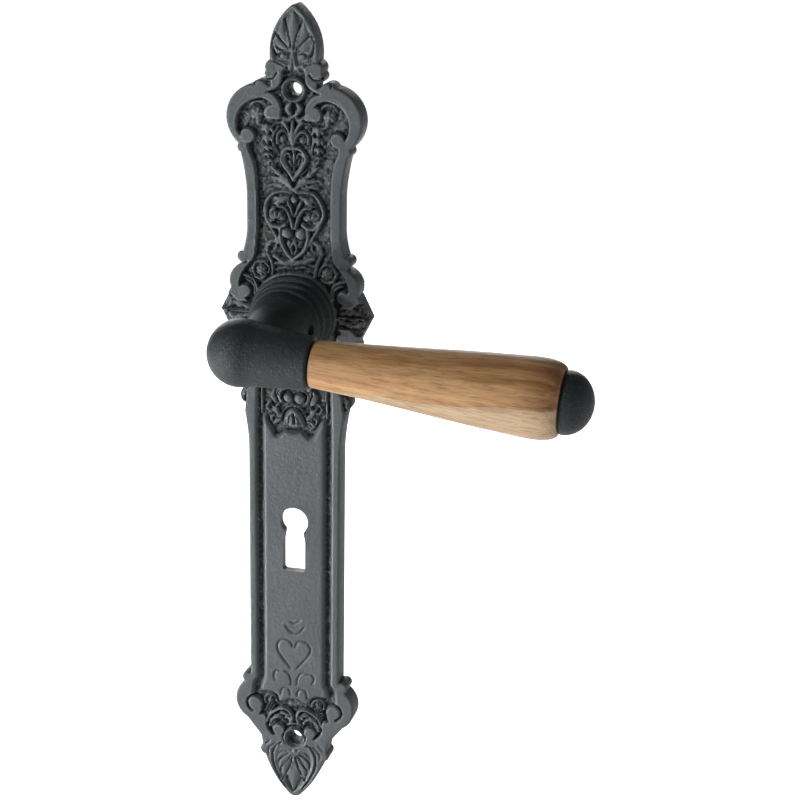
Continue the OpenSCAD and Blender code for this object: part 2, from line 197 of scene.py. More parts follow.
def to_line(x, z, line):
    """Each point's distance to a line of points, and its share of the way along it."""
    best = np.full(x.shape, 1e9)
    share = np.zeros(x.shape)
    lengths = np.linalg.norm(np.diff(line, axis=0), axis=1)
    total = lengths.sum()
    done = 0.0
    for (ax, az), (bx, bz), length in zip(line, line[1:], lengths):
        if length < 1e-9:
            continue
        t = np.clip(((x - ax) * (bx - ax) + (z - az) * (bz - az)) / length ** 2, 0, 1)
        d = np.hypot(x - ax - t * (bx - ax), z - az - t * (bz - az))
        closer = d < best
        best = np.where(closer, d, best)
        share = np.where(closer, (done + t * length) / total, share)
        done += length
    return best, share


def inside_distance(x, z, loop):
    """Signed distance to a closed loop, positive inside it."""
    best = np.full(x.shape, 1e9)
    inside = np.zeros(x.shape, bool)
    for (ax, az), (bx, bz) in zip(loop, np.roll(loop, -1, axis=0)):
        dx, dz = bx - ax, bz - az
        square = dx * dx + dz * dz
        if square < 1e-12:
            continue
        t = np.clip(((x - ax) * dx + (z - az) * dz) / square, 0, 1)
        best = np.minimum(best, (x - ax - t * dx) ** 2 + (z - az - t * dz) ** 2)
        if dz:
            inside ^= ((az > z) != (bz > z)) & (x < ax + (z - az) * dx / dz)
    return np.where(inside, 1, -1) * np.sqrt(best)


def value_noise(x, z, cell, seed):
    """Smooth random values from 0 to 1 on a lattice of cells."""
    lattice = np.random.RandomState(seed).rand(257, 1025)
    u, v = x / cell + 100, z / cell + 500
    i, j = np.floor(u).astype(int), np.floor(v).astype(int)
    fu, fv = u - i, v - j
    fu, fv = fu * fu * (3 - 2 * fu), fv * fv * (3 - 2 * fv)
    i, j = i % 256, j % 1024
    low = lattice[i, j] * (1 - fu) + lattice[i + 1, j] * fu
    high = lattice[i, j + 1] * (1 - fu) + lattice[i + 1, j + 1] * fu
    return low * (1 - fv) + high * fv


def mirrored(half):
    """A closed loop from its right half, listed from one end on the axis to the other."""
    half = [tuple(p) for p in half]
    left = [(-x, z) for x, z in reversed(half) if abs(x) > 1e-6]
    return half + left


class Relief:
    """Heights, in front of the mounting face, over the points of the plate's front."""

    def __init__(self, x, z):
        self.x = x
        self.z = z
        self.h = np.full(x.shape, PLATE_T)

    def sides(self, line, both):
        """The line itself and, unless it lies on one side only, its mirror image."""
        line = np.asarray(line, float)
        yield line
        if both:
            yield line * (-1, 1)

    def near(self, line, reach):
        """Which points lie in the box round a line."""
        low, high = line.min(0) - reach, line.max(0) + reach
        return np.nonzero((self.x > low[0]) & (self.x < high[0])
                          & (self.z > low[1]) & (self.z < high[1]))[0]

    def recess(self, loop, floor=GROUND, wall=0.55, both=False):
        """Sinks a closed shape to a floor, with sloping walls."""
        for shape in self.sides(loop, both):
            at = self.near(shape, 1)
            sunk = np.clip(inside_distance(self.x[at], self.z[at], shape) / wall, 0, 1)
            sunk = sunk * sunk * (3 - 2 * sunk)
            self.h[at] = np.minimum(self.h[at], PLATE_T - (PLATE_T - floor) * sunk)

    def plateau(self, loop, top=PLATE_T, edge=0.5, both=False, start=0.4):
        """Raises a closed shape to a flat top; its rounded edge starts at a share of the height."""
        for shape in self.sides(loop, both):
            at = self.near(shape, 1)
            up = np.clip(inside_distance(self.x[at], self.z[at], shape) / edge + start, 0, 1)
            up = up * (2 - up)
            self.h[at] = np.maximum(self.h[at], GROUND + (top - GROUND) * up)

    def along(self, points, reach, both):
        """Near a curve and its mirror image: which points, how far off it, and how far along it they are."""
        line = curve(points) if len(points) > 2 else points
        for shape in self.sides(line, both):
            at = self.near(shape, reach)
            yield at, *to_line(self.x[at], self.z[at], shape)

    def build_up(self, at, there, up, base):
        """Raises points to a height above a base, or above the ground if none is given."""
        top = base + up if base is not None else GROUND + HIGHER * up
        self.h[at] = np.where(there, np.maximum(self.h[at], top), self.h[at])

    def strap(self, points, width, height, taper=(1, 1), both=True, base=None, lift=False):
        """A half-round ridge along a curve; lift adds it to what is there already."""
        for at, d, t in self.along(points, width * BROADER, both):
            w = width * (taper[0] + (taper[1] - taper[0]) * t)
            w = np.maximum(w if base is not None or lift else w * BROADER, 0.12)
            up = np.sqrt(np.clip(1 - (d / w) ** 2, 0, 1)) * height * np.minimum(1, 0.35 + w / width)
            if lift:
                self.h[at] += up
            else:
                self.build_up(at, d < w, up, base)

    def cut(self, points, width, depth, taper=(1, 1), both=True):
        """A rounded groove along a curve."""
        for at, d, t in self.along(points, width, both):
            w = np.maximum(width * (taper[0] + (taper[1] - taper[0]) * t), 0.1)
            self.h[at] -= depth * np.clip(1 - (d / w) ** 2, 0, 1)

    def leaf(self, points, width, height, lobes=0, both=True, vein=0.3, base=None):
        """A pointed leaf along a curve, with lobed sides and a sunk midrib."""
        for at, d, t in self.along(points, width * 1.3, both):
            w = width * np.sin(np.pi * np.clip(t, 0.02, 1) ** 0.75) ** 0.8 + 0.1
            if lobes:
                w = w * (1 + 0.28 * np.sin(2 * np.pi * lobes * t))
            up = height * np.sqrt(np.clip(1 - (d / w) ** 2, 0, 1))
            up = up - vein * np.exp(-(d / 0.28) ** 2) * (t < 0.93)
            self.build_up(at, d < w, up, base)

    def blob(self, cx, cz, rx, rz, height, both=True, flat=2.0, base=None):
        """A domed button; a higher flat gives it a flatter top."""
        for shape in self.sides([(cx, cz)], both):
            at = self.near(shape, max(rx, rz))
            r = np.hypot((self.x[at] - shape[0, 0]) / rx, (self.z[at] - shape[0, 1]) / rz)
            up = height * np.sqrt(np.clip(1 - r ** flat, 0, 1))
            self.build_up(at, r < 1, up, base)

    def shell(self, cx, cz, r, a0, a1, lobes, height, inner=0.2):
        """A fan of rounded lobes about a centre, between two angles in degrees, and its mirror image."""
        for side in (1, -1):
            at = self.near(np.array([[side * cx, cz]]), r * 1.1)
            dx, dz = (self.x[at] - side * cx) * side, self.z[at] - cz
            reach = np.hypot(dx, dz) / r
            turn = (np.degrees(np.arctan2(dz, dx)) - a0) % 360 / ((a1 - a0) % 360 or 360)
            flute = np.abs(np.sin(np.pi * lobes * turn))
            rim = 0.78 + 0.22 * np.sqrt(flute)
            up = height * np.sqrt(np.clip(1 - (reach / rim) ** 4, 0, 1)) * (0.6 + 0.4 * flute ** 0.6)
            there = (turn <= 1) & (reach < rim) & (reach > inner)
            self.build_up(at, there, up, None)

    def flower(self, cx, cz, r, petals, height):
        """A small rosette with a button in its middle."""
        self.shell(cx, cz, r, 0, 360, petals, height, inner=0)
        self.blob(cx, cz, r * 0.36, r * 0.36, height * 1.15)


# ---------------------------------------------------------------- the ornament, top to bottom

def carve_fields(r):
    """Sinks the decorated fields and the channels beside the smooth panel."""
    star = [(0, 81.3), (2.3, 80.9), (3.8, 79.4), (4, 77.2), (4.6, 75.2), (6.6, 73.5), (9.4, 72.6),
            (6.9, 71.8), (5.2, 70), (4.3, 68), (4.2, 65.5), (3.4, 62), (0, 61)]
    r.recess(mirrored(curve(star, 4)))
    crescent = [(5.2, 63.6), (8.6, 64.2), (9.3, 66.2), (8.2, 68), (6.7, 68.3), (8, 69.8), (10.4, 70.6),
                (13.3, 70.1), (16.1, 68.4), (18.3, 65.4), (18.9, 62.2), (18.2, 59.3), (15.5, 57), (9, 57)]
    r.recess(curve(crescent, 4, closed=True), both=True)
    # the fields above and below the spindle both swell beside the collar
    swell = [(13.5, 18.6), (15.3, 16.3), (17.3, 13.5), (18.5, 10.4), (18.3, 7.9), (17, 5), (15.6, 3.2),
             (15.4, 0)]
    upper = [(0, 65), (5.2, 64), (10.5, 62), (13.5, 58), (15.3, 54.8), (13.7, 50.5), (12.8, 45.5), (12.5, 40),
             (12.4, 34), (12.5, 27), (12.9, 22)]
    r.recess(mirrored(curve(upper + swell, 4)))
    lower = [(13.3, -26), (13.6, -36), (13.7, -60), (13.7, -124), (13.8, -130.3), (15, -132.8),
             (15.3, -137.4), (12, -140), (0, -140)]
    lower = [(0, 0)] + [(x, -z) for x, z in reversed(swell)] + lower
    r.recess(mirrored(curve(lower, 4)), wall=1.7)
    for up in (1, -1):
        r.recess([(14.5, 3.4 * up), (19.3, 3.6 * up), (21.4, 5.6 * up), (27, 6 * up), (27, -0.5 * up),
                  (14.5, -0.5 * up)], floor=GROUND + 0.2, both=True)
        r.recess([(15.9, -26), (19.9, -26), (20.2, -32.5), (17, -34.5), (16.4, -31)], both=True)
    foot = [(0, -136), (11.5, -137), (11.9, -143), (12.7, -145.3), (10.5, -145.5), (10.2, -149),
            (9.1, -151.2), (7, -152.6), (5, -149.5), (4.3, -153.3), (3, -155.7), (0, -156.6)]
    r.recess(mirrored(curve(foot, 4)))
    # bands end in round buttons
    for cx, cz, radius in ((7, 66.1, 2), (14.9, 58.2, 2.4), (16.6, 6.9, 2.2), (16.6, -6.9, 2.2),
                           (13.9, -141.2, 2.4), (5.6, -150.2, 2.15)):
        r.plateau(ring(cx, cz, radius)[:-1], PLATE_T + 0.1, both=True)
    r.cut(ring(13.9, -141.2, 3.05, 125, -68), 0.62, 1.5, (0.8, 0.7))
    r.cut(ring(16.6, 6.9, 2.75, 215, 90), 0.5, 1.1)


def smooth_panel(r):
    """The raised plain panel with its cut upper edge, stepped foot and scalloped lower edge."""
    edge = [(0, -40.1), (3, -39.8), (5.4, -41.7), (6.3, -41.5), (8.6, -37.2), (9.8, -35.6), (10.9, -35.3),
            (11.1, -38), (11.1, -129.8), (11.3, -131.4), (12.4, -133.6), (12.5, -136.6), (8.2, -136.6),
            (6.3, -137.6), (5.3, -139.9), (3.2, -139.6), (1.6, -138.6), (0, -138.5)]
    r.plateau(mirrored(edge), PLATE_T - 0.05, edge=1.7, start=0.1)
    # engraved lines
    r.cut([(-1.1, -108.6), (-0.1, -109.3), (0.9, -108.9), (2.3, -107.9)], 0.38, 0.5, both=False)
    r.cut([(-2.8, -110.4), (-1.8, -112), (0.1, -112.9), (2.1, -112.4), (3.7, -110.4)], 0.48, 0.6, (1, 0.6),
          both=False)
    r.cut([(0.5, -117.9), (1.3, -116.3), (3, -115.6), (4.9, -116.3), (5.9, -118.1), (5.5, -120.2),
           (4, -122.6), (1.1, -126.1)], 0.45, 0.6)
    r.cut([(6.6, -131.2), (7.2, -129.3), (6.3, -127.7), (4.6, -127.5)], 0.45, 0.6, (0.8, 1))
    r.cut([(3.5, -127.4), (2.1, -128.3), (1.3, -130), (1, -132.2)], 0.48, 0.6, (0.6, 1))
    r.cut([(1.2, -136.3), (1.5, -134.7), (2.8, -133.8), (4.3, -134.6), (4.8, -137)], 0.42, 0.55)
    for cx in (1.4, 4.1):
        r.cut(ring(cx, -140.3, 1.3, 60, 150, 8), 0.3, 0.35)


def top_leaf(r):
    """The pointed leaf that crowns the plate, its volutes and the comma straps under it."""
    border = [(0, 98.9), (2.2, 97.2), (4.3, 94.2), (6, 90.2), (6.8, 86), (6.6, 82.9), (5, 82.2),
              (2.8, 81.2), (0, 81)]
    r.recess(mirrored(curve(border, 4)), floor=PLATE_T - 0.75, wall=0.8)
    for points, width, height in (([(0, 85.2), (0, 89), (0, 93), (0, 98.2)], 2.2, 0.95),
                                  ([(0.9, 85.8), (2.4, 89), (3.6, 92), (3.3, 95.2)], 1.7, 0.85),
                                  ([(1.8, 85.8), (3.8, 87.3), (5.4, 89.3), (5.6, 91.2)], 1.25, 0.8),
                                  ([(3.2, 85.5), (5, 85.8), (6, 87.2), (6, 88.6)], 1.05, 0.75)):
        r.leaf(points, width, height, vein=0, base=PLATE_T - 0.8)
    for points in ([(0.5, 86.2), (0.9, 89.2), (1.9, 93), (2.9, 95.6)],
                   [(1.3, 86.2), (3.2, 88.4), (5, 90.4)],
                   [(2.2, 85.9), (4.4, 86.1), (5.6, 87)]):
        r.cut(points, 0.42, 0.6, (1, 0.5))
        r.strap([(x + 0.42, z - 0.1) for x, z in points], 0.26, 0.22, lift=True)
    r.cut([(5.6, 91.5), (6.9, 88.5), (6.2, 85.3), (4.9, 84.3)], 0.4, 0.6)
    # volutes and stem
    r.blob(3.4, 84.2, 1.75, 1.75, 1, flat=3, base=PLATE_T - 0.75)
    r.cut(ring(3.3, 84.1, 1.15, 150, -110, 16), 0.36, 0.75)
    r.strap([(0, 86), (0, 83.6), (0.2, 81.9), (1.3, 80.4)], 1, 1, (0.7, 0.9), base=PLATE_T - 0.9)
    r.cut([(0, 83.4), (0, 79.6)], 0.4, 0.5, both=False)
    r.strap(ring(1, 80.1, 0.75, 200, -60, 10), 0.4, 0.9)
    r.strap([(2.7, 79.9), (5.2, 81.6), (7.4, 82.6)], 0.35, 0.35, base=PLATE_T - 0.1)
    # comma shaped ears and their straps
    r.cut([(3.5, 81), (5.2, 81.9), (7.3, 82.6), (9.4, 82.2)], 0.38, 0.7)
    r.cut([(5.4, 78.6), (6.6, 77.1), (8.6, 76.9), (10, 78.2)], 0.5, 0.9, (0.6, 1))
    r.cut([(12.6, 75), (11.7, 76.9), (9.6, 77.6)], 0.45, 0.8)
    r.strap([(4.7, 79.6), (4.5, 77.2), (5.3, 75.1), (8.3, 73.2)], 0.35, 0.16, base=PLATE_T - 0.03)
    r.strap([(11.2, 71.2), (14.6, 71.2), (18, 68.2)], 0.3, 0.12, base=PLATE_T - 0.03)


def screw_rings(r):
    """A raised ring round each screw hole, with a countersink inside it."""
    ring_r, crest_r, sink_r = 4.3, 3.7, 3.3
    crest, sink_top = PLATE_T - 0.15, PLATE_T - 0.35
    fall, sink_slope = 2.4, 1.75
    for z in SCREWS:
        d = np.hypot(r.x, r.z - z)
        r.h = np.where(d < ring_r, np.maximum(r.h, crest - np.clip(d - crest_r, 0, 1) * fall), r.h)
        r.h = np.where(d < sink_r + 0.05, np.minimum(r.h, sink_top - (sink_r - d) * sink_slope), r.h)


def upper_field(r):
    """Buds, palmette, hearts, sprays and scrolls between the top screw and the collar."""
    # in the crescents: buds with hanging bellflowers
    r.flower(11.9, 65.4, 2.3, 5, 1.3)
    r.strap(ring(11.6, 66.2, 3, 20, 150, 12), 0.4, 0.8)
    r.blob(11.4, 63.2, 1.1, 0.8, 1.3)
    r.strap([(11.6, 62.6), (10.6, 61.8), (9.2, 61.8)], 0.55, 1, (1, 0.5))
    for z, size in ((60.7, 1.3), (57.4, 1.15), (54.4, 0.95), (52, 0.75)):
        r.leaf([(8.4, z + size), (8.5, z), (8.2, z - 1.5 * size)], 0.75 * size, 1.4, vein=0.1)
        r.leaf([(8.6, z + 0.9 * size), (9.6, z), (10, z - 1.1 * size)], 0.6 * size, 1.1, vein=0)
        r.leaf([(8.2, z + 0.9 * size), (7.2, z), (6.6, z - size)], 0.6 * size, 1.1, vein=0)
    r.strap([(8, 50.8), (7, 49.3), (6.2, 48.4)], 0.4, 0.8)
    # buds under the screw, winged collar and palmette
    r.leaf([(0.9, 69.4), (1.9, 68.2), (1.7, 66.6), (0.6, 65.1)], 1, 1.5, vein=0.15)
    r.blob(1.3, 66.2, 0.95, 1.15, 1.6)
    r.strap([(0, 65), (2, 63.9), (4.2, 64.6), (7.6, 63.6)], 0.55, 1.1, (1.1, 0.4))
    r.strap([(0.8, 63.6), (3, 62.9), (5.4, 62.9), (7.2, 61.5)], 0.36, 0.8, (1.1, 0.5))
    r.leaf([(0, 55.6), (0, 58.5), (0.1, 61.5), (0, 64.4)], 0.85, 1.5, both=False, vein=0.1)
    r.strap([(0.2, 56.3), (0.9, 59.2), (2, 61.6), (3.2, 63.2)], 0.62, 1.25, (0.7, 1))
    r.strap([(0.3, 56), (1.5, 58.6), (3.1, 60.3), (4.6, 59.8), (5.3, 58.2), (5.1, 56.5)], 0.5, 1.25, (0.7, 1))
    r.flower(3.4, 57.5, 1.35, 6, 0.95)
    r.strap([(5.6, 60.6), (6.6, 58.6), (6.6, 56), (5.6, 53.4)], 0.4, 0.85)
    # first heart
    r.strap([(0.2, 54.9), (2, 54.6), (3.5, 53.2), (3.9, 51), (2.9, 48.6), (1.3, 46.5), (0, 44.6)],
            0.58, 1.25)
    r.strap([(0.9, 51.9), (1.6, 53.1), (2.7, 52.8), (3, 51.1), (2.1, 48.9), (0.5, 46.6)], 0.36, 1.05)
    r.strap([(0, 54.6), (0, 50), (0, 46.6)], 0.36, 1, (1.4, 0.5), both=False)
    r.blob(1.4, 50.2, 0.55, 0.9, 0.7)
    # sprays
    r.leaf([(0.3, 40.8), (2.2, 43.6), (5, 46.4), (8.7, 49.6)], 0.95, 1.3, lobes=5, vein=0.25)
    r.leaf([(0.6, 41.4), (2.6, 43.1), (5.6, 44.6), (9.6, 44.8)], 0.8, 1, lobes=6, vein=0.2)
    r.leaf([(0.9, 41.2), (3.4, 41.9), (6.2, 42.6), (9.2, 42)], 0.62, 0.85, lobes=5, vein=0.2)
    r.strap([(0.2, 41.4), (1.8, 43.9), (2.6, 46.2), (4.4, 48.2)], 0.38, 1.2, (1, 0.5))
    # the pair of round scroll leaves
    r.strap([(0.7, 40.5), (3.2, 40.8), (6.4, 40.2), (8.8, 37.8), (9.7, 34.6), (9.1, 31.2), (7, 29),
             (4.6, 28.8), (2.9, 29.8)], 0.62, 1.3, (0.8, 1.1))
    r.shell(5.9, 31, 3.4, -20, 175, 5, 1.25)
    r.shell(4.6, 38.8, 2.4, -170, 5, 4, 0.95)
    r.leaf([(1.6, 38.9), (3.7, 38.2), (5.6, 36.6), (7.6, 36.4)], 0.9, 1.1, lobes=3, vein=0.2)
    r.strap([(5.6, 35.7), (3.7, 35.6), (2.2, 34), (1, 31.2), (0.5, 28.9)], 0.55, 1.35, (0.8, 1))
    r.strap([(2.1, 37.2), (1.2, 35.1), (0.3, 32.8)], 0.5, 1.25, (1, 0.8))
    r.leaf([(8.3, 33.2), (7.4, 34.6), (6, 35.2)], 0.6, 1, vein=0)
    r.plateau([(0, 36.3), (1.15, 38), (0, 39.8), (-1.15, 38)], PLATE_T - 0.15)
    # balls over the second heart
    r.blob(2.25, 26.9, 1.95, 1.95, 1.65, flat=3.2)
    r.cut(ring(2.25, 26.9, 2.15, -30, -150, 14), 0.3, 0.5)
    r.strap([(4.5, 28.2), (4.6, 25.6), (4, 23.2), (2.4, 20.6), (0, 18.7)], 0.62, 1.35)
    r.strap([(0, 24.5), (1, 22.2), (0.3, 20.2)], 0.4, 0.9)
    r.blob(1.9, 23.4, 0.8, 1.3, 0.7)
    r.strap([(8.8, 30.2), (7.2, 27.4), (5.9, 25.6), (5.2, 23.6)], 0.5, 1.15, (0.7, 1))
    r.strap([(6.4, 26.5), (5.9, 24.2), (6.1, 22.4)], 0.4, 1)
    r.leaf([(6.3, 24.6), (8.2, 23.6), (9.3, 21.4), (8.6, 19.4)], 0.95, 1.1, lobes=3)
    r.strap([(8.9, 19.8), (7.8, 17.6), (7.2, 15.6), (7.1, 13)], 0.5, 1.2)


def round_the_collar(r):
    """Moulding, rosettes, volute leaves and spikes beside the collar ring."""
    r.strap([(0, 18.2), (2.8, 17.4), (6.6, 18.9)], 0.75, 1.1)
    r.strap([(0, 16.6), (3.4, 17), (6.4, 16.6)], 0.42, 0.9)
    r.strap([(0.6, 15.4), (3.6, 15.6), (6.4, 14.4)], 0.36, 0.8)
    for up in (1, -1):
        r.flower(11, 14.1 * up, 2.1, 6, 1.3)
        r.strap(ring(11.2, 14.4 * up, 2.75, -40, 200, 20), 0.4, 0.9)
        r.blob(14, 14.8 * up, 0.9, 0.7, 0.9)
        for points in ([(17.2, 12.2), (15.3, 11.7), (13.3, 10.6), (12.3, 8.6), (12.4, 6.2)],
                       [(16, 10.7), (14.2, 9.9), (13.1, 8.4), (13.2, 6.2)],
                       [(9.6, 12.2), (11.2, 11.4), (13, 12)]):
            r.strap([(x, z * up) for x, z in points], 0.55, 1.3, (0.7, 1))
        r.leaf([(14.8, up), (17.6, 2 * up), (20.4, 2.6 * up), (23.6, 0.5 * up)], 0.95, 1, lobes=3,
               vein=0.2, base=GROUND + 0.2)
        r.leaf([(17, 4 * up), (18.9, 4.6 * up), (21.2, 4 * up)], 0.85, 0.9, lobes=2, vein=0.2)
        r.leaf([(15.4, 2.8 * up), (16.4, 4.4 * up), (16.2, 5.9 * up)], 0.5, 1, vein=0)
    r.strap([(15, 0), (18, 0.2), (21, 0), (25, 0.2)], 0.42, 1.15, (1, 0.5))
    d = np.hypot(r.x, r.z)
    seat = np.clip((COLLAR_R + 0.5 - d) / 0.5, 0, 1)
    r.h = np.maximum(r.h, GROUND + (PLATE_T - 0.02 - GROUND) * seat)
    r.h = np.where(d < COLLAR_R - 0.2, PLATE_T - 0.02, r.h)


def field_below_lever(r):
    """Balls with hooked straps, a scallop shell and side petals above the plain panel."""
    r.strap([(11.3, -20), (11.2, -27), (11.3, -34.6)], 0.4, 0.9)
    for x, z in ((8.9, -21.4), (3, -20.8)):
        r.flower(x, z, 1.9, 5, 1.1)
    r.strap([(0, -17.8), (2.8, -18.4), (5.6, -20.2), (5.9, -23.4), (4.8, -25.6)], 0.6, 1.2)
    r.blob(1.9, -28.7, 1.8, 1.8, 1.65, flat=3)
    r.strap([(0.5, -25.3), (2.4, -25.4), (4.3, -26.4), (4.9, -28.2), (4.2, -30.3)], 0.52, 1.3, (0.8, 0.9))
    r.strap([(5.4, -25.3), (5.7, -27.4), (5, -30), (5.9, -31.6)], 0.4, 1.1)
    r.leaf([(5.8, -30.6), (6.9, -29.2), (7.2, -27.5), (6.4, -25.6)], 1, 1.35, vein=0.2)
    bell = [(0, -31.8), (1.3, -32.4), (2.6, -34), (3.5, -36), (3.8, -38), (2.9, -38.4), (2.3, -38.1),
            (1.4, -38.8), (0, -39.1)]
    r.plateau(mirrored(bell), GROUND + 2.1, edge=1.6, start=0.3)
    r.cut([(0, -33.8), (0, -37.4)], 0.5, 1.2, (0.8, 1.1), both=False)
    r.cut([(1.1, -34.7), (1.6, -35.8), (1.8, -37.2)], 0.4, 0.8, (0.5, 1))
    r.cut([(2.3, -36), (2.8, -37), (2.9, -38)], 0.3, 0.5, (0.5, 1))
    r.strap([(0.4, -31.1), (2.6, -32.3), (4.3, -34.8), (5, -36.6)], 0.34, 1, (1, 0.7))
    r.leaf([(4.4, -35.6), (5.8, -34.6), (6.6, -32.9), (8.2, -31.4)], 0.85, 1.15, lobes=2)
    r.leaf([(4.6, -36.4), (6.2, -36.9), (7.4, -38.4)], 0.7, 1.1, vein=0.15)
    r.strap([(8.3, -30.2), (9.3, -31.6), (8.6, -33.4), (7.4, -33.4)], 0.4, 0.9)
    r.strap([(7, -35.3), (8, -35.8), (7.6, -37.4), (6.4, -38.8)], 0.36, 0.85)
    r.leaf([(16.4, -26.6), (17.6, -28.6), (18.2, -31.6)], 0.8, 0.9, lobes=3)


def foot_field(r):
    """Acanthus scrolls above the bottom screw."""
    r.flower(8.7, -139.4, 1.25, 5, 1.35)
    r.strap(ring(8.6, -139.6, 2.1, -30, 190, 18), 0.42, 0.95)
    for shift in (0, 1, 2):
        r.strap([(7.2 + shift * 0.9, -141.2 + shift * 0.5), (8.2 + shift * 0.8, -142.8 + shift * 0.3),
                 (9.7 + shift * 0.5, -145.0 + shift * 0.6)], 0.4, 1.15, (0.8, 0.6))
    r.strap([(1.4, -146.6), (0.9, -144.6), (1.8, -142.7), (4, -141.9), (6.6, -142.9), (8.8, -144.9),
             (9.9, -147.4)], 0.72, 1.5, (0.9, 0.7))
    r.leaf([(1.9, -146.2), (2.7, -144.6), (4.4, -143.9), (6.2, -144.6)], 0.8, 1.2, lobes=2)
    r.strap([(3.4, -147.3), (4.6, -145.6), (6.6, -145.6), (8.3, -146.9), (8.8, -149)], 0.55, 1.35, (0.8, 1))
    r.strap([(3.9, -146.6), (5.4, -144.9), (7.4, -145.1)], 0.35, 1.1)
    r.strap([(7.2, -147.3), (8, -148.6), (7.8, -150.4)], 0.42, 0.9)
    r.blob(3.1, -145.5, 0.5, 0.8, 1.2)
    r.strap([(-2.9, -148.6), (-1.6, -147.7), (0, -147.4), (1.6, -147.7), (2.9, -148.6)], 0.4, 0.9, both=False)


def bottom_leaf(r):
    """The hanging leaf with its double border and veins."""
    border = [(0, -157.2), (3.2, -156.2), (5.2, -156.6), (6.3, -160.2), (5.9, -164.2), (4.1, -168.8),
              (1.9, -172.2), (0, -174)]
    r.recess(mirrored(curve(border, 4)), floor=PLATE_T - 0.9, wall=0.7)
    r.cut([(4.6, -155), (6.8, -156.9), (7.9, -160.4), (7.2, -164.4), (5.4, -168.4), (3.2, -171.9)],
          0.42, 0.8)
    r.cut([(7, -155.6), (8.9, -157.7), (9.5, -160.2)], 0.4, 0.7, (1, 0.5))
    r.cut([(9, -154.6), (10.4, -156.2)], 0.4, 0.5)
    r.strap([(5.6, -156), (7.1, -159.4), (6.7, -163.6), (5, -167.9), (2.7, -171.8)], 0.3, 0.3,
            base=PLATE_T - 0.1)
    for points, width in (([(0, -159.4), (0, -163), (0, -167.5), (0, -173.2)], 2.5),
                          ([(0.6, -158.8), (2.3, -162), (3.4, -165.6), (3.2, -169.6)], 1.6),
                          ([(0.9, -158.4), (3, -160.3), (4.6, -162.6), (5.3, -165.4)], 1.3),
                          ([(1.2, -158), (3.4, -158.4), (5.2, -159.9), (5.9, -162)], 1),
                          ([(1.5, -157.6), (3.4, -157), (4.9, -157.6), (5.6, -159)], 0.8)):
        r.leaf(points, width, 1, vein=0, base=PLATE_T - 0.95)
    for points in ([(0.6, -160.2), (1.6, -164.6), (4.2, -169.2)],
                   [(1.3, -159.6), (2.8, -162.4), (5, -164.8)],
                   [(1.8, -158.9), (3.6, -160), (5.6, -161.8)],
                   [(2, -158.1), (3.8, -158.2), (5.2, -159.2)]):
        r.cut(points, 0.4, 0.65, (1, 0.6))
        r.strap([(x - 0.42, z - 0.05) for x, z in points], 0.26, 0.2, lift=True)
    r.blob(0, -158, 1.3, 1, 1.15, both=False, base=PLATE_T - 0.9)
    r.blob(1.9, -157.6, 0.9, 0.8, 1, base=PLATE_T - 0.9)


def plate_relief(x, z, rim_distance):
    """Heights of the whole front, in millimetres in front of the mounting face."""
    # the pattern was set a little left of the middle, most of all between the crescents
    lean = -0.45 * np.exp(-((z - 61) / 7) ** 2) - 0.15
    r = Relief(x - lean, z)
    carve_fields(r)
    smooth_panel(r)
    # small wanderings of a hand-cut pattern, which make the two halves differ
    wander = 0.5
    r.x = r.x + wander * (value_noise(x, z, 3.1, 11) - 0.5)
    r.z = r.z + wander * (value_noise(x, z, 3.1, 13) - 0.5)
    # a punched ground, weaker in the channels beside the panel
    field = np.clip((GROUND + 0.75 - r.h) / 0.5, 0, 1)
    stipple = 0.85 * (value_noise(x, z, 0.95, 3) - 0.35) + 0.25 * (value_noise(x, z, 0.5, 5) - 0.5)
    channel = (np.abs(x) > 10.9) & (z < -36) & (z > -137)
    r.h = r.h + field * stipple * np.where(channel, 0.6, 1.0)
    top_leaf(r)
    upper_field(r)
    round_the_collar(r)
    field_below_lever(r)
    foot_field(r)
    bottom_leaf(r)
    r.x, r.z = x - lean, z
    screw_rings(r)
    # the casting is never quite flat, and rougher in its low places
    rough = 0.05 + 0.24 * np.clip((PLATE_T - 0.12 - r.h) / 0.4, 0, 1)
    r.h = r.h + 0.05 * (value_noise(x, z, 6.0, 7) - 0.5) + rough * (value_noise(x, z, 0.8, 9) - 0.5)
    highest = PLATE_T + 0.25
    seat = np.hypot(x, z) < COLLAR_R
    r.h = np.where(seat, PLATE_T - 0.03, np.minimum(r.h, highest))
    # the outer edge is rounded over
    edge_r = 0.55
    short = np.clip(edge_r - rim_distance, 0, edge_r)
    return r.h - (edge_r - np.sqrt(edge_r ** 2 - short ** 2))


# ---------------------------------------------------------------- the cast plate

def plate_back():
    """The CAD plate without its front: its hollow back, and the loops where the front joins on."""
    points, tris = cad_triangles("backplate")
    depth = -points[:, 1]
    # the front begins above the hollow's floor, and lower down in the countersinks
    front_from, sink_from, sink_r = 5.7, 4.5, 3.6
    by_screw = np.zeros(len(points), bool)
    for z in SCREWS:
        by_screw |= (np.hypot(points[:, 0], points[:, 2] - z) < sink_r) & (depth > sink_from)
    front = (depth > front_from) | by_screw
    kept = tris[~front[tris].any(axis=1)]
    used, index = np.unique(kept, return_inverse=True)
    return points[used], index.reshape(-1, 3)


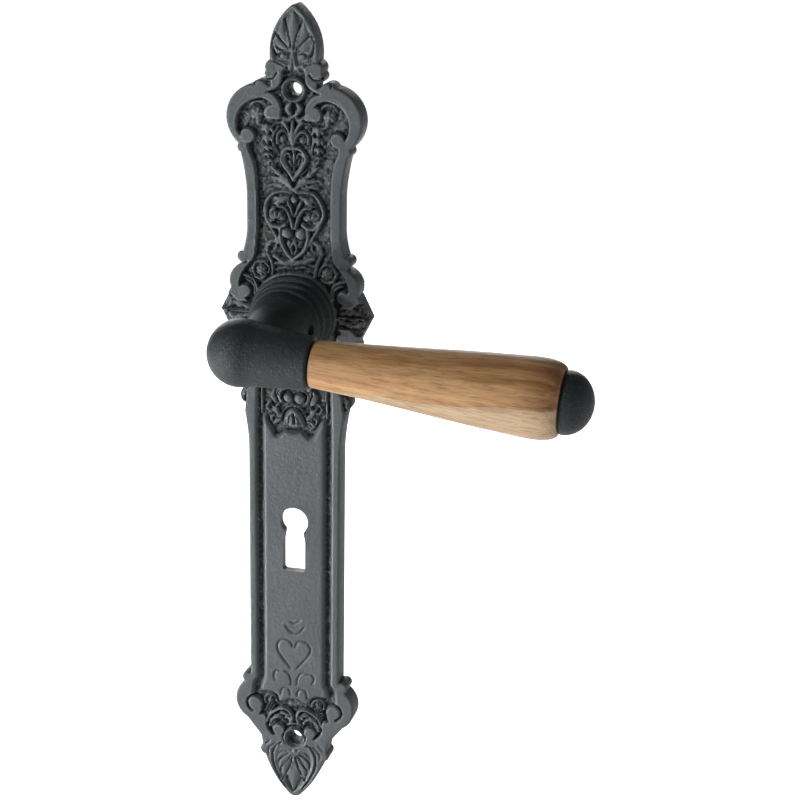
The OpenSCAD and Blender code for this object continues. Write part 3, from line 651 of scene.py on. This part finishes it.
def front_sheet(loops):
    """A fine sheet whose edge follows the outline and the holes: its points and its faces."""
    outline = max(loops, key=lambda p: np.ptp(p[:, 1]))
    holes = [p for p in loops if p is not outline]
    nx = int(np.ceil(np.abs(outline[:, 0]).max() / PITCH)) + 2
    low = int(np.floor(outline[:, 1].min() / PITCH)) - 2
    high = int(np.ceil(outline[:, 1].max() / PITCH)) + 2
    gx, gz = np.meshgrid(np.arange(-nx, nx + 1) * PITCH, np.arange(low, high + 1) * PITCH, indexing="ij")

    def room(x, z):
        phi = inside_distance(x, z, outline)
        for hole in holes:
            phi = np.minimum(phi, -inside_distance(x, z, hole))
        return phi

    phi = room(gx, gz)
    # beside every crossing of an edge, the nearer grid point is moved onto that edge
    snap = np.zeros(phi.shape, bool)
    for grid, mark in ((phi, snap), (phi.T, snap.T)):
        crossing = (grid[:-1] > 0) != (grid[1:] > 0)
        first = crossing & (np.abs(grid[:-1]) <= np.abs(grid[1:]))
        mark[:-1] |= first
        mark[1:] |= crossing & ~first
    sx, sz = gx[snap], gz[snap]
    nudge = 0.01
    for _ in range(3):
        here = room(sx, sz)
        slope_x = (room(sx + nudge, sz) - here) / nudge
        slope_z = (room(sx, sz + nudge) - here) / nudge
        steep = np.maximum(slope_x ** 2 + slope_z ** 2, 0.3)
        sx, sz = sx - here * slope_x / steep, sz - here * slope_z / steep
    gx[snap], gz[snap] = sx, sz
    usable = (phi > 0) | snap
    number = np.arange(phi.size).reshape(phi.shape)
    corners = [(slice(0, -1), slice(0, -1)), (slice(1, None), slice(0, -1)),
               (slice(1, None), slice(1, None)), (slice(0, -1), slice(1, None))]
    ids = np.stack([number[c] for c in corners], -1).reshape(-1, 4)
    good = np.stack([usable[c] for c in corners], -1).reshape(-1, 4)
    flat_x, flat_z, on_edge = gx.ravel(), gz.ravel(), snap.ravel()
    corners_in = good.sum(axis=1)
    quads = ids[corners_in == 4]
    tris = ids[corners_in == 3][good[corners_in == 3]].reshape(-1, 3)
    # cells whose points all lie on the edge may fall outside it
    all_on_edge = on_edge[quads].all(axis=1)
    doubtful = quads[all_on_edge].tolist() + tris.tolist()
    centre = np.array([(flat_x[f].mean(), flat_z[f].mean()) for f in doubtful])
    inside = room(centre[:, 0], centre[:, 1]) > 0.02
    faces = quads[~all_on_edge].tolist() + [f for f, keep in zip(doubtful, inside) if keep]
    used = np.unique(np.concatenate([np.array(f) for f in faces]))
    renumber = np.full(phi.size, -1)
    renumber[used] = np.arange(len(used))
    x, z = flat_x[used], flat_z[used]
    rim = inside_distance(x, z, outline)
    return x, z, np.maximum(rim, 0), [[int(renumber[i]) for i in f] for f in faces]


def cast_plate():
    """The cast plate: the CAD plate's back and walls, zipped to a fine front that carries the relief."""
    back, back_tris = plate_back()
    back_loops = open_loops(back_tris.tolist())
    x, z, rim, front_faces = front_sheet([back[loop][:, [0, 2]] for loop in back_loops])
    height = plate_relief(x, z, rim)
    points = np.vstack([back, np.stack([x, -height, z], 1)])
    front_faces = [[i + len(back) for i in f] for f in front_faces]
    front_loops = open_loops(front_faces)
    faces = back_tris.tolist() + front_faces
    for loop in back_loops:
        middle = points[loop].mean(axis=0)[[0, 2]]
        span = np.ptp(points[loop][:, 2])
        mate = min(front_loops, key=lambda other: np.linalg.norm(points[other].mean(axis=0)[[0, 2]] - middle)
                   + abs(np.ptp(points[other][:, 2]) - span))
        faces += zip_loops(points, loop, mate)
    thing = new_object("cast_backplate", points, faces)
    bm = bmesh.new()
    bm.from_mesh(thing.data)
    bmesh.ops.recalc_face_normals(bm, faces=bm.faces)
    bm.to_mesh(thing.data)
    bm.free()
    # how high each place lies and how open it is, for paint with painted shade that darkens hollows and
    # crevices and a painted highlight on ridge tops
    reach, back_shade, brightest = 0.8, 0.52, 1.3
    around = np.mean([plate_relief(x + reach * c, z + reach * s, rim)
                      for c, s in ring(0, 0, 1, 0, 300, 5)], axis=0)
    share = np.clip((height - GROUND) / (PLATE_T - GROUND), 0, 1)
    # painted shade: the back and side walls get one fixed darker value; on the front the value falls with
    # depth and in crevices, and rises on ridge tops as a painted highlight
    raised = np.full(len(points), back_shade)
    raised[len(back):] = 0.25 + 0.75 * share - 0.9 * (around - height)
    shade = thing.data.attributes.new("raised", "FLOAT", "POINT")
    shade.data.foreach_set("value", (np.clip(raised, 0, brightest) / brightest).astype(np.float32))
    smooth(thing, 55)
    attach(thing, "plate")
    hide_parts("backplate")
    return thing


# ---------------------------------------------------------------- turned pieces

def turned(name, profile, place, steps=96):
    """A closed surface of revolution from [radius, height] pairs in millimetres, put in place by a matrix."""
    points, rows = [], []
    for radius, height in profile:
        if radius < 1e-6:
            rows.append([len(points)] * steps)
            points.append((0.0, 0.0, height))
            continue
        rows.append(list(range(len(points), len(points) + steps)))
        for k in range(steps):
            a = 2 * math.pi * k / steps
            points.append((radius * math.cos(a), radius * math.sin(a), height))
    faces = []
    for low, high in zip(rows, rows[1:]):
        for k in range(steps):
            n = (k + 1) % steps
            face = [low[k], low[n], high[n], high[k]]
            face = [v for i, v in enumerate(face) if v not in face[:i]]
            if len(face) > 2:
                faces.append(face)
    placed = [place @ Vector(p) for p in points]
    return new_object(name, placed, faces)


# frames whose Z runs out along the neck, and along the arm
ON_NECK = Matrix(((1, 0, 0), (0, 0, -1), (0, 1, 0))).to_4x4()
ON_ARM = Matrix.Translation((0, -ARM_Y, 0)) @ Matrix.Rotation(math.pi / 2 + DROOP, 4, "Y")


def along_arm(node):
    """The first and last distance of a CAD node along the arm, and its largest radius, in millimetres."""
    into = ON_ARM.inverted()
    p = np.array([(into @ (v.co / MM))[:] for v in NODES[node].data.vertices])
    return p[:, 2].min(), p[:, 2].max(), np.hypot(p[:, 0], p[:, 1]).max()


def wood():
    """The oiled wooden grip, with a slightly uneven hand-turned surface."""
    start, end, belly_r = along_arm("wooden_grip")
    start_r, end_r, bore_r = 7.45, 10.0, 3.2
    edge, chamfer = 0.5, 0.4
    belly = end - 9.2
    shoulder = belly + 2
    share = np.arange(1, 61) / 60
    swell = share - 0.03 * np.sin(2 * np.pi * share)
    flank = [start_r + (belly_r - start_r) * swell, start + edge + (belly - start - edge) * share]
    profile = [(bore_r, start + chamfer), (bore_r + 0.2, start), (start_r - 0.55, start),
               *ring(start_r - edge, start + edge, edge, -67.5, 0, 4), *np.stack(flank, 1),
               (belly_r, belly + 1),
               *oval(end_r, shoulder, belly_r - end_r, end - shoulder, 0, 84, 15),
               (end_r, end), (bore_r, end), (bore_r, start + chamfer)]
    thing = turned("wood_grip", profile, ON_ARM, 128)
    into = ON_ARM.inverted()
    co = np.array([(into @ (v.co / MM))[:] for v in thing.data.vertices])
    r = np.hypot(co[:, 0], co[:, 1])
    turn = np.arctan2(co[:, 1], co[:, 0])
    grain = value_noise(turn * r + 40, co[:, 2] * 0.06, 1.3, 21) - 0.5
    sway = value_noise(turn * 2 + 10, co[:, 2] * 0.05, 1.0, 23) - 0.5
    fade = np.clip((co[:, 2] - start) / 3, 0, 1)
    scale = (r + (0.05 * grain + 0.1 * sway) * fade - 0.06) / np.maximum(r, 1e-6)
    scale = np.where(r > bore_r + 1.5, scale, 1)
    co[:, :2] *= scale[:, None]
    for v, p in zip(thing.data.vertices, co):
        v.co = (ON_ARM @ Vector(p)) * MM
    smooth(thing, 35)
    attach(thing, "lever")
    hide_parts("wooden_grip")
    return thing


def cap():
    """The domed iron cap that holds the grip."""
    start, end, radius = along_arm("grip_cap")
    rim, edge, bore_r, bore_depth = 0.8, 0.5, 3.0, 5.4
    profile = [(0, start + bore_depth), (bore_r, start + bore_depth), (bore_r, start), (radius - edge, start),
               *ring(radius - edge, start + edge, edge, -75, 0, 6),
               *oval(0, start + rim, radius, end - start - rim, 0, 87, 30), (0, end)]
    thing = turned("domed_cap", profile, ON_ARM, 96)
    smooth(thing, 40)
    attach(thing, "lever")
    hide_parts("grip_cap")
    return thing


def collar():
    """The stepped collar ring with its two beads."""
    inner, spigot, back, chamfer = 9.5, 11.0, 3.8, 0.25
    front = -size_mm("collar_ring", 0, 1)
    low_bead = ring(COLLAR_R - 1.5, PLATE_T + 2.6, 1.5, -50, 80, 27)
    high_bead = ring(COLLAR_R - 2.6, front - 1.9, 1.4, -50, 80, 27)
    profile = [(inner, back), (spigot, back), (spigot, PLATE_T), (COLLAR_R - 0.9, PLATE_T), *low_bead,
               (COLLAR_R - 1.9, PLATE_T + 4.5), *high_bead, (COLLAR_R - 3.2, front),
               (inner + chamfer, front), (inner, front - chamfer), (inner, back)]
    thing = turned("stepped_collar", profile, ON_NECK, 128)
    smooth(thing, 42)
    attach(thing, "plate")
    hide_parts("collar_ring")
    return thing


# ---------------------------------------------------------------- materials

class Shader:
    """A small helper that adds nodes to one material."""

    def __init__(self, name, roughness, metallic=0.0, turn=(0, 0, 0)):
        self.material = bpy.data.materials.new(name)
        self.material.use_nodes = True
        self.tree = self.material.node_tree
        self.bsdf = self.tree.nodes["Principled BSDF"]
        self.bsdf.inputs["Roughness"].default_value = roughness
        self.bsdf.inputs["Metallic"].default_value = metallic
        mapping = self.node("Mapping", Rotation=turn)
        self.link(self.node("TexCoord").outputs["Object"], mapping.inputs["Vector"])
        self.place = mapping.outputs["Vector"]

    def link(self, a, b):
        self.tree.links.new(a, b)

    def node(self, kind, **values):
        """A new node with some of its inputs set."""
        node = self.tree.nodes.new("ShaderNode" + kind)
        for name, value in values.items():
            node.inputs[name].default_value = value
        return node

    def noise(self, scale, detail=4.0, roughness=0.55, distortion=0.0, place=None):
        node = self.node("TexNoise", Scale=scale, Detail=detail, Roughness=roughness, Distortion=distortion)
        self.link(place or self.place, node.inputs["Vector"])
        return node.outputs["Fac"]

    def stretched(self, squeeze):
        """The place with its lengthwise coordinate squeezed, which draws a pattern out along the grain."""
        node = self.node("Mapping", Scale=(squeeze, 1, 1))
        self.link(self.place, node.inputs["Vector"])
        return node.outputs["Vector"]

    def ramp(self, value, stops):
        node = self.node("ValToRGB")
        while len(node.color_ramp.elements) < len(stops):
            node.color_ramp.elements.new(0.5)
        for element, (at, colour) in zip(node.color_ramp.elements, stops):
            element.position = at
            element.color = (*((colour,) * 3 if isinstance(colour, (int, float)) else colour), 1)
        self.link(value, node.inputs["Fac"])
        return node.outputs["Color"]

    def mix(self, factor, a, b, blend="MIX"):
        node = self.node("Mix")
        node.data_type = "RGBA"
        node.blend_type = blend
        for socket, value in (("Factor", factor), ("A", a), ("B", b)):
            inputs = [s for s in node.inputs if s.name == socket and s.enabled]
            if isinstance(value, (int, float)):
                inputs[0].default_value = value
            elif isinstance(value, tuple):
                inputs[0].default_value = (*value, 1)
            else:
                self.link(value, inputs[0])
        return [s for s in node.outputs if s.enabled][0]

    def math(self, operation, a, b=0.0):
        node = self.node("Math")
        node.operation = operation
        for socket, value in zip(node.inputs, (a, b)):
            if isinstance(value, (int, float)):
                socket.default_value = value
            else:
                self.link(value, socket)
        return node.outputs[0]

    def attribute(self, name):
        node = self.node("Attribute")
        node.attribute_name = name
        return node.outputs["Fac"]

    def bump(self, height, strength, distance, onto=None):
        node = self.node("Bump", Strength=strength, Distance=distance)
        self.link(height, node.inputs["Height"])
        if onto is not None:
            self.link(onto, node.inputs["Normal"])
        self.link(node.outputs["Normal"], self.bsdf.inputs["Normal"])
        return node.outputs["Normal"]

    def colour(self, value):
        self.link(value, self.bsdf.inputs["Base Color"])

    def rough(self, value, low, high):
        spread = self.math("MULTIPLY", value, high - low)
        self.link(self.math("ADD", spread, low), self.bsdf.inputs["Roughness"])


def plate_paint():
    """Matt charcoal paint on cast iron, with painted shade that makes the crevices nearly black, painted
    highlights with a little wear on the ridges, and painted glints on grains in the low ground.
    """
    s = Shader("cast_plate_paint", 0.5)
    cloud = s.noise(35, 3)
    grain = s.noise(900, 5, 0.7)
    # the stored value carries painted shade and painted highlight worked out from the relief
    height = s.attribute("raised")
    base = s.ramp(cloud, [(0.3, (0.057, 0.064, 0.068)), (0.75, (0.080, 0.088, 0.093))])
    # painted shade: the lower and more shut in a place lies, the darker its colour, nearly black in the
    # crevices
    painted_shade_by_depth = s.ramp(height, [(0.0, (0.004, 0.0045, 0.005)), (0.19, (0.034, 0.037, 0.039)),
                           (0.45, (0.055, 0.06, 0.063))])
    up = s.ramp(height, [(0.35, 0.0), (0.7, 1.0)])
    painted = s.mix(up, painted_shade_by_depth, base)
    # ridge tops lighter: a painted highlight, with a little wear
    wear_and_painted_highlight = s.ramp(height, [(0.8, 0.0), (1.0, 0.6)])
    painted = s.mix(wear_and_painted_highlight, painted, (0.13, 0.135, 0.14))
    speck = s.ramp(s.noise(1500, 2), [(0.66, 0.0), (0.74, 0.3)])
    hollow = s.math("SUBTRACT", 1.0, up)
    # painted glints: pale grains in the low ground that stand for light caught by the cast texture
    glint = s.math("MULTIPLY", s.ramp(s.noise(1300, 2), [(0.55, 0.0), (0.68, 0.8)]), hollow)
    glint = s.math("MULTIPLY", glint, s.ramp(height, [(0.08, 0.0), (0.2, 1.0), (0.3, 1.0), (0.38, 0.2)]))
    s.colour(s.mix(s.math("MAXIMUM", speck, glint), painted, (0.27, 0.275, 0.28)))
    s.rough(cloud, 0.32, 0.46)
    fine = s.bump(s.math("MULTIPLY", grain, s.math("ADD", hollow, 0.6)), 0.6, 0.0006)
    s.bump(s.noise(160, 3), 0.3, 0.0003, fine)
    return s.material


def black_paint():
    """Satin black paint over a fine cast skin."""
    s = Shader("satin_black_paint", 0.4)
    cloud = s.noise(45, 3)
    grain = s.noise(1100, 5, 0.7)
    base = s.ramp(cloud, [(0.3, (0.0155, 0.021, 0.022)), (0.75, (0.0235, 0.0305, 0.032))])
    speck = s.ramp(s.noise(1400, 2), [(0.58, 0.0), (0.74, 0.3)])
    s.colour(s.mix(speck, base, (0.16, 0.165, 0.17)))
    s.bsdf.inputs["Specular IOR Level"].default_value = 0.3
    s.rough(grain, 0.3, 0.5)
    fine = s.bump(grain, 0.8, 0.0005)
    s.bump(s.noise(220, 3), 0.22, 0.0003, fine)
    return s.material


def oiled_wood():
    """Hardwood cut across its heart: brown heartwood over pale sapwood, fine long grain, a red-brown end."""
    s = Shader("oiled_wood", 0.45, turn=(0, -DROOP, 0))
    split = s.node("SeparateXYZ")
    s.link(s.place, split.inputs["Vector"])
    along, height = split.outputs["X"], split.outputs["Z"]
    bands = s.noise(300, 4, 0.6, 0.3, s.stretched(0.035))
    lines = s.noise(1500, 4, 0.7, 0.2, s.stretched(0.03))
    heart = s.ramp(bands, [(0.3, (0.32, 0.152, 0.055)), (0.5, (0.475, 0.263, 0.108)),
                           (0.7, (0.575, 0.355, 0.165))])
    sap = s.ramp(bands, [(0.3, (0.44, 0.29, 0.16)), (0.7, (0.57, 0.42, 0.27))])
    # the heartwood ends on a wavy plane that climbs towards the cap; all in metres
    climb, below_axis, red_from = 0.084, 0.0081, 0.084
    sway = s.math("MULTIPLY", s.math("SUBTRACT", s.noise(60, 3, 0.5, 0.0, s.stretched(0.25)), 0.5), 0.006)
    level = s.math("ADD", s.math("SUBTRACT", height, s.math("MULTIPLY", along, climb)), sway)
    above = s.math("MULTIPLY", s.math("ADD", level, below_axis), 1 / MM)
    share = s.ramp(s.math("ADD", s.math("MULTIPLY", above, 0.2), 0.5), [(0.42, 0.0), (0.58, 1.0)])
    tone = s.mix(share, sap, heart)
    seam = s.ramp(s.math("ABSOLUTE", above), [(0.0, 0.55), (0.28, 0.0)])
    seam = s.math("MULTIPLY", seam, s.ramp(lines, [(0.35, 1.0), (0.6, 0.3)]))
    tone = s.mix(seam, tone, (0.15, 0.06, 0.02))
    # a darker, redder end beside the cap
    to_cap = s.math("MULTIPLY", s.math("SUBTRACT", along, red_from), 80.0)
    red = s.math("MULTIPLY", s.ramp(to_cap, [(0.0, 0.0), (0.95, 0.75)]), share)
    red = s.math("MULTIPLY", red, s.ramp(bands, [(0.3, 1.0), (0.7, 0.35)]))
    tone = s.mix(red, tone, (0.17, 0.05, 0.015))
    fine = s.ramp(lines, [(0.36, (0.62, 0.52, 0.44)), (0.55, (1, 1, 1))])
    tone = s.mix(0.75, tone, fine, "MULTIPLY")
    pores = s.ramp(s.noise(2200, 2, 0.5, 0.0, s.stretched(0.07)), [(0.34, 1.0), (0.40, 0.0)])
    s.colour(s.mix(s.math("MULTIPLY", pores, 0.4), tone, (0.12, 0.05, 0.02)))
    s.rough(lines, 0.4, 0.58)
    s.bump(lines, 0.25, 0.0002)
    return s.material


def metal(name, colour, dark, roughness):
    """Bright machined or plated metal with fine scratches and slight stains."""
    s = Shader(name, roughness, 1.0)
    s.colour(s.ramp(s.noise(120, 4), [(0.3, dark), (0.7, colour)]))
    grain = s.noise(700, 4, 0.7)
    s.rough(grain, roughness - 0.08, roughness + 0.12)
    s.bump(grain, 0.15, 0.0001)
    return s.material


def matt(name, colour, dark, roughness):
    """A moulded or pressed material with a fine grain."""
    s = Shader(name, roughness)
    grain = s.noise(500, 4, 0.6)
    s.colour(s.ramp(grain, [(0.3, dark), (0.7, colour)]))
    s.rough(grain, roughness - 0.05, roughness + 0.1)
    s.bump(grain, 0.2, 0.0002)
    return s.material


def dress(thing, material):
    """Gives an object one material."""
    if thing.data.materials:
        for i in range(len(thing.data.materials)):
            thing.data.materials[i] = material
    else:
        thing.data.materials.append(material)


# ---------------------------------------------------------------- the pieces together

black = black_paint()
dress(cast_plate(), plate_paint())
for part in (cap(), collar()):
    dress(part, black)
dress(wood(), oiled_wood())
dress(NODES["lever_body"], black)
steel = metal("zinc_plated_steel", (0.62, 0.62, 0.63), (0.42, 0.42, 0.44), 0.34)
for node in ("stop_pins", "spring_cover", "cover_screws", "spindle", "driver_disc", "grip_stud", "grip_dowel",
             "grip_nut"):
    dress(NODES[node], steel)
spring_steel = metal("oiled_spring_steel", (0.22, 0.22, 0.24), (0.12, 0.12, 0.13), 0.3)
for node in ("return_spring", "retaining_ring", "spindle_screw"):
    dress(NODES[node], spring_steel)
dress(NODES["bearing_bush"], metal("turned_bronze", (0.62, 0.4, 0.2), (0.42, 0.25, 0.11), 0.3))
dress(NODES["thrust_washer"], matt("natural_nylon", (0.72, 0.69, 0.62), (0.62, 0.59, 0.52), 0.45))
fibre = matt("black_fibre", (0.03, 0.03, 0.03), (0.012, 0.012, 0.012), 0.7)
for node in ("arm_washer", "cap_washer"):
    dress(NODES[node], fibre)


# ---------------------------------------------------------------- floor, light and camera

# each lamp's name, place in metres, size and power in watts
LAMPS = (("key", (-0.42, -0.24, -0.38), 0.3, 10), ("rim", (-0.7, 0.45, -0.5), 0.4, 12),
         ("under", (-0.2, -0.28, -0.6), 0.3, 11.5), ("glint", (-0.82, -0.7, 0.28), 0.1, 7.4),
         ("back", (-0.4, 1.2, 0.0), 1.0, 14), ("fill", (1.1, -0.3, -0.1), 0.5, 1.6))


def stage():
    """A plain pale floor well below the plate, a white surround, and soft light mostly from the left."""
    half, drop = 6000.0, 160
    z = -BOTTOM_TIP - drop
    floor = new_object("floor", [(-half, -half, z), (half, -half, z), (half, half, z), (-half, half, z)],
                       [(0, 1, 2, 3)])
    s = Shader("pale_floor", 0.8)
    pale = s.ramp(s.noise(3, 2), [(0.3, (0.86, 0.86, 0.86)), (0.7, (0.9, 0.9, 0.9))])
    s.colour(pale)
    s.link(pale, s.bsdf.inputs["Emission Color"])
    # floor and world look white, but throw less light on the handle than they show
    seen = s.node("LightPath").outputs["Is Camera Ray"]
    s.link(s.math("ADD", s.math("MULTIPLY", seen, 0.85), 0.3), s.bsdf.inputs["Emission Strength"])
    dress(floor, s.material)
    world = bpy.data.worlds.new("studio")
    world.use_nodes = True
    tree = world.node_tree
    path = tree.nodes.new("ShaderNodeLightPath")
    both = tree.nodes.new("ShaderNodeMixShader")
    tree.links.new(path.outputs["Is Camera Ray"], both.inputs["Fac"])
    for glow, socket, strength in ((tree.nodes["Background"], 1, 0.14),
                                   (tree.nodes.new("ShaderNodeBackground"), 2, 1.02)):
        glow.inputs["Color"].default_value = (1, 1, 1, 1)
        glow.inputs["Strength"].default_value = strength
        tree.links.new(glow.outputs["Background"], both.inputs[socket])
    tree.links.new(both.outputs["Shader"], tree.nodes["World Output"].inputs["Surface"])
    bpy.context.scene.world = world
    bpy.context.scene.view_settings.view_transform = "Standard"
    middle = Vector((0, 0, -40 * MM))
    for name, place, size, power in LAMPS:
        light = bpy.data.lights.new(name, "AREA")
        light.size = size
        light.energy = power
        lamp = bpy.data.objects.new(name, light)
        lamp.location = place
        lamp.visible_camera = False
        lamp.rotation_euler = (middle - Vector(place)).to_track_quat("-Z", "Y").to_euler()
        bpy.context.scene.collection.objects.link(lamp)


def camera():
    """A long lens in front of the plate, above it and to its right."""
    azimuth, elevation, roll = (math.radians(a) for a in (14.04, 18.22, 0.87))
    aim = Vector((34.3 * MM, 0, -27.9 * MM))
    distance = 0.7
    back = Vector((math.sin(azimuth) * math.cos(elevation), -math.cos(azimuth) * math.cos(elevation),
                   math.sin(elevation)))
    right = Vector((math.cos(azimuth), math.sin(azimuth), 0))
    up = back.cross(right)
    right, up = (right * math.cos(roll) + up * math.sin(roll), up * math.cos(roll) - right * math.sin(roll))
    lens = bpy.data.cameras.new("camera")
    lens.lens = 95.9
    lens.sensor_width = 36
    lens.clip_start = 0.01
    eye = bpy.data.objects.new("camera", lens)
    place = Matrix((right, up, back)).transposed().to_4x4()
    place.translation = aim + back * distance
    eye.matrix_world = place
    bpy.context.scene.collection.objects.link(eye)
    bpy.context.scene.camera = eye


stage()
camera()
